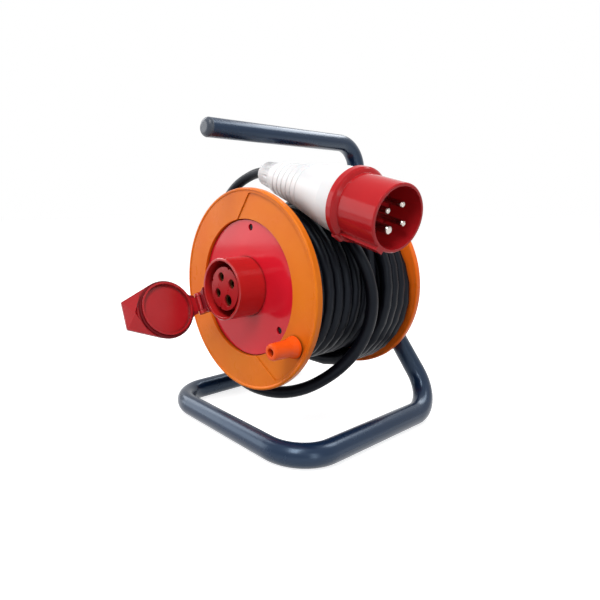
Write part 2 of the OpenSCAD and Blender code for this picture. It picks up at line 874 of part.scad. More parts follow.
module lead_in() {
    outer = sqrt(pow(core_r, 2) - pow(grommet_r, 2));
    color("black") on_lead() difference() {
        rotate([0, 90, 0]) rod(cord_r, lead_inner_r, outer);
        for (w = concat(wires, [earth_wire])) along_wire(w) rotate([0, 90, 0])
            rod(wire_r + seat_gap, -wire_r, cord_d);
    }
}

module clamp_plate(z0, z1) {
    difference() {
        translate([clamp_at - clamp_len / 2, -clamp_post_at - 4, z0])
            cube([clamp_len, 2 * clamp_post_at + 8, z1 - z0]);
        rotate([0, 90, 0]) rod(cord_r + seat_gap, 0, core_r);
        for (s = [-1, 1]) translate([clamp_at, s * clamp_post_at, 0])
            rod(clamp_screw_r + seat_gap, z0 - 1, z1 + 1);
    }
}

module clamp_saddle() {
    color("orange") on_lead() clamp_plate(core_web_front - lead_z, -0.5);
}

module clamp_bar() {
    color("silver") on_lead() clamp_plate(0.5, cord_r + clamp_bar_t);
}

module clamp_screws() {
    top = cord_r + clamp_bar_t;
    color("silver") on_lead() for (s = [-1, 1]) translate([clamp_at, s * clamp_post_at, top + 2])
        screw(3.2, 2, clamp_screw_r, top + 2 - (core_web_front - lead_z) + core_web_t);
}

// A wire is [contact direction, side, level]. It starts in the end of the sheath.
function wire_start(w) = [lead_inner_r, w[1] * wire_split, w[2] * wire_split];
function wire_run(w) =
    dir_at(w[0] - lead_dir) * contact_at + [0, 0, w[2] * wire_split] - wire_start(w);

module along_wire(w) {
    run = wire_run(w);
    translate(wire_start(w)) rotate([0, 0, atan2(run[1], run[0])]) children();
}

// One insulated wire from the cord's end to a contact's tail
module wire(w) {
    back = socket_ledge_back - carrier_flange_t - contact_tail - lead_z;
    reach = norm(wire_run(w));
    along_wire(w) {
        rotate([0, 90, 0]) rod(wire_r, 0, reach - wire_bend);
        translate([reach - wire_bend, 0, 0]) elbow(wire_bend, wire_r);
        translate([reach, 0, 0]) rod(wire_r, wire_bend, back - w[2] * wire_split);
    }
}

module phase_leads() {
    color("saddlebrown") on_lead() for (w = wires) wire(w);
}

module earth_lead() {
    color("yellowgreen") on_lead() wire(earth_wire);
}

// ---- cord ----------------------------------------------------------------------

module cord_winding() {
    round_r = cord_r;
    full = winding_front - winding_back;
    heap = extra_turns * cord_d;
    color("black") on_axle() difference() {
        rotate_extrude($fn = round_fn) {
            translate([0, winding_back]) soft_rect(winding_r, full, round_r);
            translate([0, winding_back]) soft_rect(winding_r + layer_pitch, heap, round_r);
        }
        rod(core_r + seat_gap, winding_back - 1, winding_front + 1, round_fn);
    }
}

// Point t along the curve through the hand-set points, by Catmull-Rom
function blend_points(a, b, c, d, t) =
    0.5 * (2 * b + (c - a) * t + (2 * a - 5 * b + 4 * c - d) * t * t
        + (3 * b - a - 3 * c + d) * t * t * t);

function plug_axis() = [
    cos(plug_tilt) * cos(plug_turn), cos(plug_tilt) * sin(plug_turn), -sin(plug_tilt)
];

function tail_route() = concat(tail_points, [plug_from - plug_axis() * 6, plug_from]);

function pick(p, i) = p[max(0, min(len(p) - 1, i))];

function fine_route(p, per) = [
    for (i = [0:len(p) - 2], k = [0:per - 1])
        blend_points(pick(p, i - 1), p[i], p[i + 1], pick(p, i + 2), k / per),
    p[len(p) - 1]
];

module sweep_tube(path, r, sides) {
    last = len(path) - 1;
    function tangent(i) = unit(path[min(i + 1, last)] - path[max(i - 1, 0)]);
    rings = [for (i = [0:last]) let (t = tangent(i), a = unit(cross(t, [0, 1, 0])), b = cross(a, t))
        for (k = [0:sides - 1]) path[i] + r * (cos(360 * k / sides) * a + sin(360 * k / sides) * b)];
    walls = [for (i = [0:last - 1], k = [0:sides - 1]) let (n = (k + 1) % sides)
        [i * sides + k, i * sides + n, (i + 1) * sides + n, (i + 1) * sides + k]];
    ends = [[for (k = [sides - 1:-1:0]) k], [for (k = [0:sides - 1]) last * sides + k]];
    polyhedron(points = rings, faces = concat(walls, ends), convexity = 6);
}

module cord_tail() {
    color("black") on_stand() sweep_tube(fine_route(tail_route(), 2), cord_r, 10);
}

// ---- plug ----------------------------------------------------------------------

module gland_nut() {
    color("whitesmoke") on_plug() difference() {
        rotate_extrude($fn = round_fn) polygon([
            [gland_bore_r, 0], [gland_r - 2, 0], [gland_r - 0.6, 2.5],
            [gland_r + 1.4, gland_len], [gland_bore_r, gland_len]
        ]);
        spread(gland_r + 2.0, [0:30:330]) rod(2, 6, gland_len - 3);
        rod(cord_r + 4, 6, gland_len + 1);
    }
}

module gland_seal() {
    color("black") on_plug() ring(cord_r + 4 - seat_gap, cord_r, 6 + seat_gap, gland_len, small_fn);
}

module plug_housing() {
    front = collar_z - seat_gap;
    outer = [for (p = housing_shape)
        [neck_r + (housing_r - neck_r) * p[1], gland_len + (front - gland_len) * p[0]]];
    inner = [for (i = [len(outer) - 1:-1:1]) outer[i] - [housing_wall, 0]];
    radius_at = [for (p = outer) [p[1], p[0]]];
    color("white") on_plug() difference() {
        rotate_extrude($fn = round_fn) polygon(concat(
            [[cord_r + 1, gland_len]], outer, inner, [[cord_r + 1, gland_len + 6]]
        ));
        for (k = [0:grip_rings - 1]) {
            z = gland_len + grip_from + grip_pitch * k;
            rotate_extrude($fn = round_fn) translate([lookup(z, radius_at) + grip_r * 0.4, z])
                circle(r = grip_r, $fn = 24);
        }
    }
}

module plug_shroud() {
    color("crimson") on_plug() difference() {
        union() {
            rotate_extrude($fn = round_fn) polygon([
                [shroud_in_r - 4, pin_back], [housing_r - housing_wall - seat_gap, pin_back - 12],
                [housing_r - housing_wall - seat_gap, collar_z],
                [collar_r - 1.5, collar_z], [collar_r, collar_z + 1.5],
                [collar_r, collar_z + collar_t - 1.5], [collar_r - 1.5, collar_z + collar_t],
                [shroud_r, collar_z + collar_t + 1.5], [shroud_r, plug_len - 0.8],
                [shroud_r - 0.8, plug_len], [shroud_in_r, plug_len], [shroud_in_r, pin_back + 4],
                [shroud_in_r - 4, pin_back + 4]
            ]);
            rotate([0, 0, plug_key_dir]) {
                translate([shroud_in_r + 0.5, -4, collar_z + collar_t - 1])
                    cube([shroud_r - shroud_in_r + 2.0, 8, plug_len - collar_z - collar_t + 1]);
                translate([collar_r - 1, 0, collar_z + collar_t / 2]) rotate([90, 0, 0])
                    rod(3, -4.5, 4.5);
            }
        }
    }
}

module pin_carrier() {
    r_back = shroud_in_r - 4;
    color("darkred") on_plug() difference() {
        union() {
            rod(shroud_in_r - seat_gap, pin_back + 4, pin_floor, round_fn);
            rod(r_back - seat_gap, pin_back - 8, pin_back + 4, round_fn);
        }
        spread(contact_at, plug_pin_dirs)
            rod(phase_pin_d / 2 - pin_step + seat_gap, pin_back - 9, pin_floor + 1);
        spread(contact_at, [plug_earth_dir])
            rod(earth_pin_d / 2 - pin_step + seat_gap, pin_back - 9, pin_floor + 1);
    }
}

module contact_pin(d) {
    r = d / 2;
    rotate_extrude($fn = small_fn) polygon([
        [0, pin_back - 14], [r - pin_step, pin_back - 14], [r - pin_step, pin_floor],
        [r, pin_floor], [r, pin_front - 1.6], [r - 0.5, pin_front - 0.5],
        [r - 1.4, pin_front], [0, pin_front]
    ]);
}

module phase_pins() {
    color("silver") on_plug() spread(contact_at, plug_pin_dirs) contact_pin(phase_pin_d);
}

module earth_pin() {
    color("silver") on_plug() spread(contact_at, [plug_earth_dir]) contact_pin(earth_pin_d);
}

base_loop();
handle_tube();
handle_end_cap();
axle_plate();
axle();
rear_washer();
front_washer();
axle_nut();
front_flange();
rear_flange();
drum_core();
rear_bush();
front_bush();
rear_flange_screws();
front_flange_screws();
face_plate();
plate_screws();
socket_body();
socket_screws();
contact_carrier();
phase_contacts();
earth_contact();
lid_hinge_pin();
lid();
lid_seal();
knob_pin();
knob_washer();
crank_knob();
entry_grommet();
lead_in();
clamp_bar();
clamp_saddle();
clamp_screws();
phase_leads();
earth_lead();
cord_winding();
cord_tail();
gland_nut();
gland_seal();
plug_housing();
plug_shroud();
pin_carrier();
phase_pins();
earth_pin();
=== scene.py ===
"""Looks of a cord reel: camera, cords, materials, small moulded details, floor and light."""
import math

import bpy
from mathutils import Matrix, Vector


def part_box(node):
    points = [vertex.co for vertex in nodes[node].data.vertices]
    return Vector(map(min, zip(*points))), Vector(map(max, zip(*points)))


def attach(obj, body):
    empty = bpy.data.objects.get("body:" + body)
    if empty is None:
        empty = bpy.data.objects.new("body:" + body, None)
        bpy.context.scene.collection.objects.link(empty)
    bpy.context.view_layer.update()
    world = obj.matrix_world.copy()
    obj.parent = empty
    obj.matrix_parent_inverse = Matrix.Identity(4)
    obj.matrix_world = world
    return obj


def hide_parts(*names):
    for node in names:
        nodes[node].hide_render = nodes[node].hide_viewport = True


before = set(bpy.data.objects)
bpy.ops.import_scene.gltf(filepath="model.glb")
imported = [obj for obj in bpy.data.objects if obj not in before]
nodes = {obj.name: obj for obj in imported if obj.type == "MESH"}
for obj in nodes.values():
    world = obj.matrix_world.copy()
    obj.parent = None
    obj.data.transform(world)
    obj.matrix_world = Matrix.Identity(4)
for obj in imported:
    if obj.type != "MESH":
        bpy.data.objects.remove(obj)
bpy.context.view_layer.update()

MM = 0.001
FULL_TURN = 2 * math.pi

# Sizes repeated from part.scad, in millimetres and degrees
RIM_LIP = 0.8
AXLE_H = 127.5
CORE_R = 45.0
CORD_D = 10.5
WEB_FRONT = -10.4
WEB_BACK = -135.6
LEAD_DIR = 120.0
LEAD_Z = -38.0
PLUG_FROM = Vector((-23.5, 50.5, 234.0))
PLUG_TILT = 15.0
PLUG_TURN = -6.0
TAIL_POINTS = [
    (10, 68, 206.2), (26, 68, 202.9), (42, 67, 196), (57, 65, 186), (69, 63, 172),
    (78, 66, 157), (83, 71, 140), (85, 74, 120), (82, 74, 99), (74, 71, 79),
    (63, 65, 62), (49, 56, 47), (32, 45, 35), (12, 35, 28), (-10, 27, 27),
    (-32, 23, 31), (-54, 21, 43), (-74, 20, 63), (-87, 20, 90), (-92, 21, 120),
    (-92.5, 25, 150), (-90, 32, 178), (-82, 40, 203), (-68, 46.5, 222.5), (-48, 50.5, 233),
]
HINGE_DIR = 209.0
HINGE_AT = 34.5
HINGE_Z = 27.5
LID_OPEN = 93.0
LID_R = 26.1
LID_UNDER = 0.25
LID_T = 2.25
TAB_LEN = 13.5

# How far back the drum's front face lies, from the frame's y = 0 in the middle of the depth
FACE_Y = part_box("front_flange")[0].y / MM + RIM_LIP


def on_stand(x, y, z):
    """The point in metres, from millimetres: y starts at the drum's front face, z at the floor."""
    return Vector((x, y + FACE_Y, z)) * MM


def on_drum(radius, angle, z):
    """A point round the axle, in metres: z is 0 at the drum's front face, negative behind it."""
    return on_stand(radius * math.cos(angle), -z, AXLE_H + radius * math.sin(angle))


# ---- camera ----------------------------------------------------------------------

# Fitted to the photograph: place in millimetres, angles in degrees, the rest in its pixels
CAMERA_AT = (355.2, -290.8, 196.5)
CAMERA_AZIMUTH = 52.07
CAMERA_ELEVATION = -2.15
CAMERA_ROLL = -0.25
FOCAL_PX = 501.4
FRAME_PX = 600.0
CENTRE_PX = (231.2, 191.5)

# Width of the camera's sensor in millimetres, and the nearest and farthest it sees in metres
SENSOR = 36.0
CLIP = (0.01, 50)


def make_camera():
    """The photograph's camera, with the lens shift that its cropped frame needs."""
    azimuth, elevation = math.radians(CAMERA_AZIMUTH), math.radians(CAMERA_ELEVATION)
    back = Vector((
        math.sin(azimuth) * math.cos(elevation),
        -math.cos(azimuth) * math.cos(elevation),
        math.sin(elevation),
    ))
    right = Vector((math.cos(azimuth), math.sin(azimuth), 0))
    up = back.cross(right)
    roll = math.radians(CAMERA_ROLL)
    side = right * math.cos(roll) + up * math.sin(roll)
    top = up * math.cos(roll) - right * math.sin(roll)
    data = bpy.data.cameras.new("camera")
    data.sensor_width = SENSOR
    data.lens = FOCAL_PX / FRAME_PX * SENSOR
    data.shift_x = 0.5 - CENTRE_PX[0] / FRAME_PX
    data.shift_y = CENTRE_PX[1] / FRAME_PX - 0.5
    data.clip_start, data.clip_end = CLIP
    camera = bpy.data.objects.new("camera", data)
    bpy.context.scene.collection.objects.link(camera)
    turn = Matrix((side, top, back)).transposed().to_4x4()
    camera.matrix_world = Matrix.Translation(on_stand(*CAMERA_AT)) @ turn
    bpy.context.scene.camera = camera


make_camera()

# ---- cords -----------------------------------------------------------------------

POINTS_PER_TURN = 30

# Millimetres between cord and core, between cord and web, and from layer to layer
CORE_GAP = 0.1
WEB_GAP = 0.6
LAYER_PITCH = 9.15

# Turns that it takes to climb a layer, and the number of the pass with most visible turns
CLIMB = 0.3
VISIBLE_PASS = 5

# The turns heaped on the full layers by the rear web: their height as a layer number, where
# they end and where the cord is down again, in millimetres from the first of them
HEAP_LAYER = 3.35
HEAP_TOP = 3.45
HEAP_LEN = 37.0
HEAP_FOOT = 43.5

# How that pass wanders along the axle: size in millimetres, waves in a turn, phase
WANDER = [(1.3, 1, 0.8), (0.7, 2, 2.1), (0.55, 0.73, 0), (0.35, 0.31, 1)]

# How it lifts off the layer below: size in millimetres, waves in a turn
LIFT = 0.175
LIFT_WAVES = 3.1

# The share of both in the other passes, and the turns over which they fade at both ends
OTHER_SHARE = 0.25
FADE_TURNS = 0.5

# A pass of fewer turns than this starts and ends softly along the axle
EASED_BELOW = 1.5

# The loose turn: steps between two points, and its straight end in millimetres
LOOSE_STEPS = 5
STRAIGHT_BEFORE_PLUG = 6
STRAIGHT_IN_PLUG = 3


def curve_piece(name, points, diameter):
    """A round cord as one open spline through the points.

    The thickness is each point's radius, because the curve's box grows by that radius.
    """
    data = bpy.data.curves.new(name, "CURVE")
    data.dimensions = "3D"
    data.bevel_depth = 1
    data.bevel_resolution = 4
    data.use_fill_caps = True
    data.twist_mode = "MINIMUM"
    spline = data.splines.new("POLY")
    spline.points.add(len(points) - 1)
    for target, point in zip(spline.points, points):
        target.co = (*point, 1)
        target.radius = diameter / 2
    spline.use_smooth = True
    piece = bpy.data.objects.new(name, data)
    bpy.context.scene.collection.objects.link(piece)
    return piece


def smooth_route(points, steps):
    """Catmull-Rom curve through the points, with that many steps between two of them."""
    route = []
    last = len(points) - 1
    for i in range(last):
        a, b = points[max(i - 1, 0)], points[i]
        c, d = points[i + 1], points[min(i + 2, last)]
        for k in range(steps):
            t = k / steps
            route.append(0.5 * (
                2 * b + (c - a) * t + (2 * a - 5 * b + 4 * c - d) * t ** 2
                + (3 * b - a - 3 * c + d) * t ** 3
            ))
    route.append(points[last])
    return route


def ease(t):
    """From 0 to 1 with a soft start and a soft end."""
    return t * t * (3 - 2 * t)


def wander(angle):
    """How far the visible pass lies off its even place along the axle, in millimetres."""
    return sum(size * math.sin(waves * angle + phase) for size, waves, phase in WANDER)


def winding_route():
    """Centre line of the wound cord, from the hole in the core to where the loose turn starts.

    Each pass is (turns, z at its start, z at its end, layer at its start, layer at its end).
    The last one stays in the full layers, so the drum can turn under the loose turn.
    """
    front = WEB_FRONT - CORD_D / 2 - WEB_GAP
    back = WEB_BACK + CORD_D / 2 + WEB_GAP
    heap, foot = back + HEAP_LEN, back + HEAP_FOOT
    passes = [
        (0.8, LEAD_Z, front, 0, 0),
        (10.8, front, back, 0, 0),
        (CLIMB, back, back, 0, 1),
        (10.3, back, front, 1, 1),
        (CLIMB, front, front, 1, 2),
        (9.6, front, back, 2, 2),
        (CLIMB, back, back, 2, HEAP_LAYER),
        (3.7, back, heap, HEAP_LAYER, HEAP_TOP),
        (0.35, heap, foot, HEAP_TOP, 2),
    ]
    turned = sum(one[0] for one in passes)
    angle = math.radians(LEAD_DIR)
    loose_x, loose_y, loose_z = TAIL_POINTS[0]
    spare = (angle - math.atan2(loose_z - AXLE_H, loose_x)) / FULL_TURN
    passes.append((1 + spare - turned % 1, foot, -loose_y, 2, 2))

    route = []
    for number, (turns, z0, z1, layer0, layer1) in enumerate(passes):
        count = round(turns * POINTS_PER_TURN)
        share = 1.0 if number == VISIBLE_PASS else OTHER_SHARE
        for k in range(count):
            t = k / count
            turn_angle = angle - t * turns * FULL_TURN
            fade = share * min(1, t * turns / FADE_TURNS, (1 - t) * turns / FADE_TURNS)
            along = ease(t) if turns < EASED_BELOW else t
            layer = layer0 + (layer1 - layer0) * ease(t)
            radius = CORE_R + CORD_D / 2 + CORE_GAP + LAYER_PITCH * layer
            lift = LIFT * math.sin(LIFT_WAVES * turn_angle) * fade
            z = z0 + (z1 - z0) * along + wander(turn_angle) * fade
            route.append(on_drum(radius + lift, turn_angle, z))
        angle -= turns * FULL_TURN
    return route


def plug_axis():
    """The way from the cord into the plug."""
    tilt, turn = math.radians(PLUG_TILT), math.radians(PLUG_TURN)
    level = math.cos(tilt)
    return Vector((level * math.cos(turn), level * math.sin(turn), -math.sin(tilt)))


wound = winding_route()
winding = curve_piece("wound_cord", wound, CORD_D * MM)
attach(winding, "drum")
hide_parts("cord_winding")

loose_points = [Vector(point) for point in TAIL_POINTS] + [
    PLUG_FROM - plug_axis() * STRAIGHT_BEFORE_PLUG,
    PLUG_FROM + plug_axis() * STRAIGHT_IN_PLUG,
]
loose_route = smooth_route([on_stand(*point) for point in loose_points], LOOSE_STEPS)
tail = curve_piece("loose_cord", loose_route, CORD_D * MM)
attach(tail, "stand")
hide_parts("cord_tail")

# ---- materials -------------------------------------------------------------------

# How bright the second colour is where a finish names none, how much finer smudges are than
# patches, and how strong the grain is
SECOND_SHARE = 0.86
SMUDGE_PER_PATCH = 2.6
GRAIN_STRENGTH = 0.6

# Samples of rounded corners and gaps; what counts as a narrow gap, in metres
SAMPLES = 6
GAP_WIDTH = 0.004

# From no corner colour to the most of it, as the cosine between true and rounded normal
CORNER_RANGE = (0.985, 0.86)
MOST_CORNER_TONE = 0.75

# Values of gap light and of noise that are stretched to the full range
GAP_RANGE = (0.25, 0.8)
PATCH_RANGE = (0.35, 0.65)
SMUDGE_RANGE = (0.3, 0.7)

SUBSURFACE_RADIUS = (0.004, 0.002, 0.0015)
SUBSURFACE_SCALE = 0.5


def link(tree, source, target):
    tree.links.new(source, target)


def add_node(tree, kind, **settings):
    """A new shader node, with its settings made before its sockets are used."""
    node = tree.nodes.new("ShaderNode" + kind)
    for name, value in settings.items():
        setattr(node, name, value)
    return node


def remap(tree, value, source=(0, 1), target=(0, 1)):
    """The value moved from the source range to the target range and held inside it."""
    node = add_node(tree, "MapRange")
    node.inputs["From Min"].default_value, node.inputs["From Max"].default_value = source
    node.inputs["To Min"].default_value, node.inputs["To Max"].default_value = target
    link(tree, value, node.inputs["Value"])
    return node.outputs["Result"]


def noise(tree, place, scale, detail):
    """Noise fixed to the object, with that many waves in a metre."""
    node = add_node(tree, "TexNoise")
    node.inputs["Scale"].default_value = scale
    node.inputs["Detail"].default_value = detail
    link(tree, place, node.inputs["Vector"])
    return node.outputs["Fac"]


def corner_wear_and_shade(tree, base, rounded, wear_and_shade):
    """The base colour, with the corner colour where the rounded normal leaves the true one: wear on
    most finishes, painted shade on the lid.
    """
    facing = add_node(tree, "VectorMath", operation="DOT_PRODUCT")
    link(tree, rounded, facing.inputs[0])
    link(tree, add_node(tree, "NewGeometry").outputs["Normal"], facing.inputs[1])
    corner_mix = add_node(tree, "Mix", data_type="RGBA")
    corner_mix.inputs["B"].default_value = (*wear_and_shade, 1)
    share = remap(tree, facing.outputs["Value"], CORNER_RANGE, (0, MOST_CORNER_TONE))
    link(tree, share, corner_mix.inputs["Factor"])
    link(tree, base, corner_mix.inputs["A"])
    return corner_mix.outputs["Result"]


def painted_gap_shade(tree, base, gap_shade):
    """The base colour with painted shade: darker in narrow gaps, by up to the given share."""
    # Ambient occlusion paints shade into the colour where gaps are narrow
    hollow = add_node(tree, "AmbientOcclusion", samples=SAMPLES)
    hollow.inputs["Distance"].default_value = GAP_WIDTH
    shaded_colour = add_node(tree, "VectorMath", operation="SCALE")
    link(tree, base, shaded_colour.inputs[0])
    light = remap(tree, hollow.outputs["AO"], GAP_RANGE, (1 - gap_shade, 1))
    link(tree, light, shaded_colour.inputs["Scale"])
    return shaded_colour.outputs["Vector"]


def surface(
    name, colour, roughness, *, second=None, patch=90.0, grain=900.0, grain_depth=0.00003,
    spread=0.06, metallic=0.0, edge=0.0004, wear_and_shade=None, specular=0.5, mirror=(1, 1, 1),
    subsurface=0.0, gap_shade=0.0,
):
    """A moulded, painted or plated finish.

    The colour drifts between colour and second in soft patches, roughness varies by spread
    and a fine grain lifts the surface. Corners look rounded by edge and take a colour of their
    own: wear, and painted shade on the lid. mirror tints the highlights, and the gap setting
    is how dark painted shade turns the colour in gaps.
    """
    material = bpy.data.materials.new(name)
    material.use_nodes = True
    tree = material.node_tree
    shader = tree.nodes["Principled BSDF"]
    shader.inputs["Metallic"].default_value = metallic
    shader.inputs["Specular IOR Level"].default_value = specular
    shader.inputs["Specular Tint"].default_value = (*mirror, 1)
    if subsurface:
        shader.inputs["Subsurface Weight"].default_value = subsurface
        shader.inputs["Subsurface Radius"].default_value = SUBSURFACE_RADIUS
        shader.inputs["Subsurface Scale"].default_value = SUBSURFACE_SCALE

    place = add_node(tree, "TexCoord").outputs["Object"]
    bevel = add_node(tree, "Bevel", samples=SAMPLES)
    bevel.inputs["Radius"].default_value = edge
    rounded = bevel.outputs["Normal"]

    tint = add_node(tree, "Mix", data_type="RGBA")
    tint.inputs["A"].default_value = (*colour, 1)
    tint.inputs["B"].default_value = (*(second or [SECOND_SHARE * c for c in colour]), 1)
    patches = noise(tree, place, patch, detail=4)
    link(tree, remap(tree, patches, PATCH_RANGE), tint.inputs["Factor"])
    base = tint.outputs["Result"]
    # Corner colour: wear on most finishes, painted shade on the lid's darker rims
    if wear_and_shade:
        base = corner_wear_and_shade(tree, base, rounded, wear_and_shade)
    # Painted shade: the colour turns darker in narrow gaps
    if gap_shade:
        base = painted_gap_shade(tree, base, gap_shade)
    link(tree, base, shader.inputs["Base Color"])

    smudge = noise(tree, place, patch * SMUDGE_PER_PATCH, detail=6)
    rough = (roughness - spread, roughness + spread)
    link(tree, remap(tree, smudge, SMUDGE_RANGE, rough), shader.inputs["Roughness"])

    bump = add_node(tree, "Bump")
    bump.inputs["Strength"].default_value = GRAIN_STRENGTH
    bump.inputs["Distance"].default_value = grain_depth
    link(tree, noise(tree, place, grain, detail=3), bump.inputs["Height"])
    link(tree, rounded, bump.inputs["Normal"])
    link(tree, bump.outputs["Normal"], shader.inputs["Normal"])
    return material


# Lengths in metres, patch and grain in waves a metre
# The gap setting of a finish is painted shade, darkening its narrow gaps
FINISHES = {
    "stand_paint": dict(
        colour=(0.004, 0.013, 0.038), second=(0.006, 0.017, 0.046), roughness=0.25, patch=14,
        grain=420, spread=0.04, specular=0.52, mirror=(0.60, 0.78, 1.0), wear_and_shade=(0.09, 0.12, 0.16)),
    "cap_plastic": dict(
        colour=(0.055, 0.068, 0.092), roughness=0.34, grain=1500, specular=0.3,
        wear_and_shade=(0.15, 0.17, 0.21)),
    "zinc": dict(
        colour=(0.56, 0.57, 0.58), second=(0.46, 0.46, 0.44), roughness=0.30, metallic=1.0,
        patch=160, grain=2400, grain_depth=0.00002, edge=0.0002),
    "black_screw": dict(
        colour=(0.008, 0.008, 0.008), roughness=0.38, grain=2400, specular=0.2, edge=0.0002),
    "drum_orange": dict(
        colour=(0.80, 0.200, 0.012), second=(0.76, 0.155, 0.008), roughness=0.30, patch=22,
        grain=1300, grain_depth=0.00001, specular=0.10, wear_and_shade=(0.90, 0.28, 0.04), gap_shade=0.55),
    "knob_orange": dict(
        colour=(0.92, 0.105, 0.008), second=(0.88, 0.095, 0.007), roughness=0.26, patch=26,
        grain=1300, grain_depth=0.00001, specular=0.16, wear_and_shade=(0.88, 0.18, 0.03), gap_shade=0.6),
    # A brighter copy of the drum's orange with less gap shade: painted light on the rear flange,
    # which lies in the winding's shade
    "rear_orange": dict(
        colour=(0.92, 0.165, 0.010), second=(0.89, 0.155, 0.009), roughness=0.32, patch=26,
        grain=1300, grain_depth=0.00001, specular=0.13, wear_and_shade=(0.90, 0.27, 0.04), gap_shade=0.3),
    "bush_nylon": dict(colour=(0.78, 0.74, 0.64), roughness=0.45, grain=1500, subsurface=0.1),
    "plate_red": dict(
        colour=(0.72, 0.012, 0.028), second=(0.69, 0.010, 0.025), roughness=0.10, patch=30,
        grain=1100, grain_depth=0.000006, specular=0.21, spread=0.02, wear_and_shade=(0.70, 0.04, 0.06),
        gap_shade=0.6),
    "socket_red": dict(
        colour=(0.48, 0.016, 0.017), second=(0.45, 0.014, 0.015), roughness=0.16, patch=34,
        grain=1100, grain_depth=0.00001, specular=0.40, spread=0.03, wear_and_shade=(0.55, 0.03, 0.035),
        gap_shade=0.85),
    "carrier_red": dict(
        colour=(0.42, 0.012, 0.016), second=(0.39, 0.010, 0.014), roughness=0.30, patch=40,
        grain=1500, specular=0.25, wear_and_shade=(0.55, 0.04, 0.05), gap_shade=0.7),
    # Its corners take a red darker than the lid: painted shade on the rims
    "lid_red": dict(
        colour=(0.42, 0.008, 0.013), second=(0.39, 0.007, 0.012), roughness=0.20, patch=40,
        grain=1200, grain_depth=0.00001, specular=0.38, spread=0.03, wear_and_shade=(0.25, 0.008, 0.016),
        gap_shade=0.85),
    # A darker copy of the lid's red: painted shade on the hinge web, the lid's neck and the hinge
    # pin
    "strap_red_shaded": dict(
        colour=(0.26, 0.010, 0.018), second=(0.23, 0.009, 0.016), roughness=0.24, patch=40,
        grain=1200, grain_depth=0.00001, specular=0.30, spread=0.03, wear_and_shade=(0.32, 0.016, 0.024),
        gap_shade=0.8),
    "seal_rubber": dict(
        colour=(0.16, 0.006, 0.010), roughness=0.6, grain=1800, specular=0.2),
    "black_rubber": dict(
        colour=(0.006, 0.006, 0.007), roughness=0.55, grain=1800, grain_depth=0.00004,
        specular=0.2),
    "brass": dict(
        colour=(0.10, 0.055, 0.022), second=(0.07, 0.040, 0.016), roughness=0.45, metallic=1.0,
        patch=200, grain=2400, grain_depth=0.00001, edge=0.0002),
    "cord_rubber": dict(
        colour=(0.0022, 0.0024, 0.0046), second=(0.0034, 0.0037, 0.0064), roughness=0.42, patch=60,
        grain=1100, grain_depth=0.00005, specular=0.16, mirror=(0.75, 0.86, 1.0), edge=0.0001),
    "wire_brown": dict(colour=(0.10, 0.035, 0.015), roughness=0.4, grain=1500),
    "wire_green": dict(
        colour=(0.10, 0.30, 0.03), second=(0.62, 0.56, 0.03), roughness=0.4, patch=220, grain=1500),
    "plug_white": dict(
        colour=(0.76, 0.76, 0.77), second=(0.74, 0.74, 0.75), roughness=0.42, patch=30,
        subsurface=0.1, specular=0.3, wear_and_shade=(0.80, 0.80, 0.80)),
    "plug_red": dict(
        colour=(0.48, 0.014, 0.018), second=(0.44, 0.012, 0.016), roughness=0.13, patch=34,
        grain=1000, grain_depth=0.00001, specular=0.14, spread=0.03, wear_and_shade=(0.58, 0.06, 0.07),
        gap_shade=0.8),
    "pin_nickel": dict(
        colour=(0.50, 0.46, 0.43), second=(0.42, 0.38, 0.35), roughness=0.20, metallic=1.0,
        patch=160, grain=2400, grain_depth=0.00001, edge=0.0003),
}

# Which nodes each finish is on
WEARERS = {
    "stand_paint": ["base_loop", "handle_tube", "axle_plate"],
    "cap_plastic": ["handle_end_cap"],
    "zinc": [
        "axle", "rear_washer", "front_washer", "axle_nut", "rear_flange_screws",
        "front_flange_screws", "socket_screws", "knob_pin", "knob_washer", "clamp_bar",
        "clamp_screws",
    ],
    "black_screw": ["plate_screws"],
    "drum_orange": ["front_flange", "drum_core", "clamp_saddle"],
    "knob_orange": ["crank_knob"],
    "rear_orange": ["rear_flange"],
    "bush_nylon": ["rear_bush", "front_bush"],
    "plate_red": ["face_plate"],
    "socket_red": ["socket_body"],
    "carrier_red": ["contact_carrier", "pin_carrier"],
    "lid_red": ["lid"],
    "strap_red_shaded": ["lid_hinge_pin"],
    "seal_rubber": ["lid_seal"],
    "black_rubber": ["gland_seal", "entry_grommet", "lead_in"],
    "brass": ["phase_contacts", "earth_contact"],
    "wire_brown": ["phase_leads"],
    "wire_green": ["earth_lead"],
    "plug_white": ["gland_nut", "plug_housing"],
    "plug_red": ["plug_shroud"],
    "pin_nickel": ["phase_pins", "earth_pin"],
}

materials = {name: surface(name, **finish) for name, finish in FINISHES.items()}

for finish, wearers in WEARERS.items():
    for node in wearers:
        nodes[node].data.materials.clear()
        nodes[node].data.materials.append(materials[finish])
for piece in (winding, tail):
    piece.data.materials.append(materials["cord_rubber"])

# ---- moulded details ---------------------------------------------------------------

# Outlines seen from the drum's front, with x away from the socket and y along the hinge, and
# the heights between which they are solid, all from the hinge's axis in millimetres
HINGE_WEB = [(-10.3, -11.8), (-3.5, -8.5), (-3.5, 8.5), (-10.3, 11.8), (-8.4, 6), (-8.4, -6)]
HINGE_WEB_Z = (-5.2, -0.3)
LID_NECK = [
    (-3.8, -8.6), (-3.8, 8.6), (-8.0, 9.4), (-12.5, 13.5), (-12.5, -13.5), (-8.0, -9.4),
]
NECK_ABOVE_UNDERSIDE = 0.15
NECK_BELOW_TOP = 0.1
LID_NECK_Z = (LID_UNDER + NECK_ABOVE_UNDERSIDE, LID_UNDER + LID_T - NECK_BELOW_TOP)
EDGE_BEVEL = 0.0003

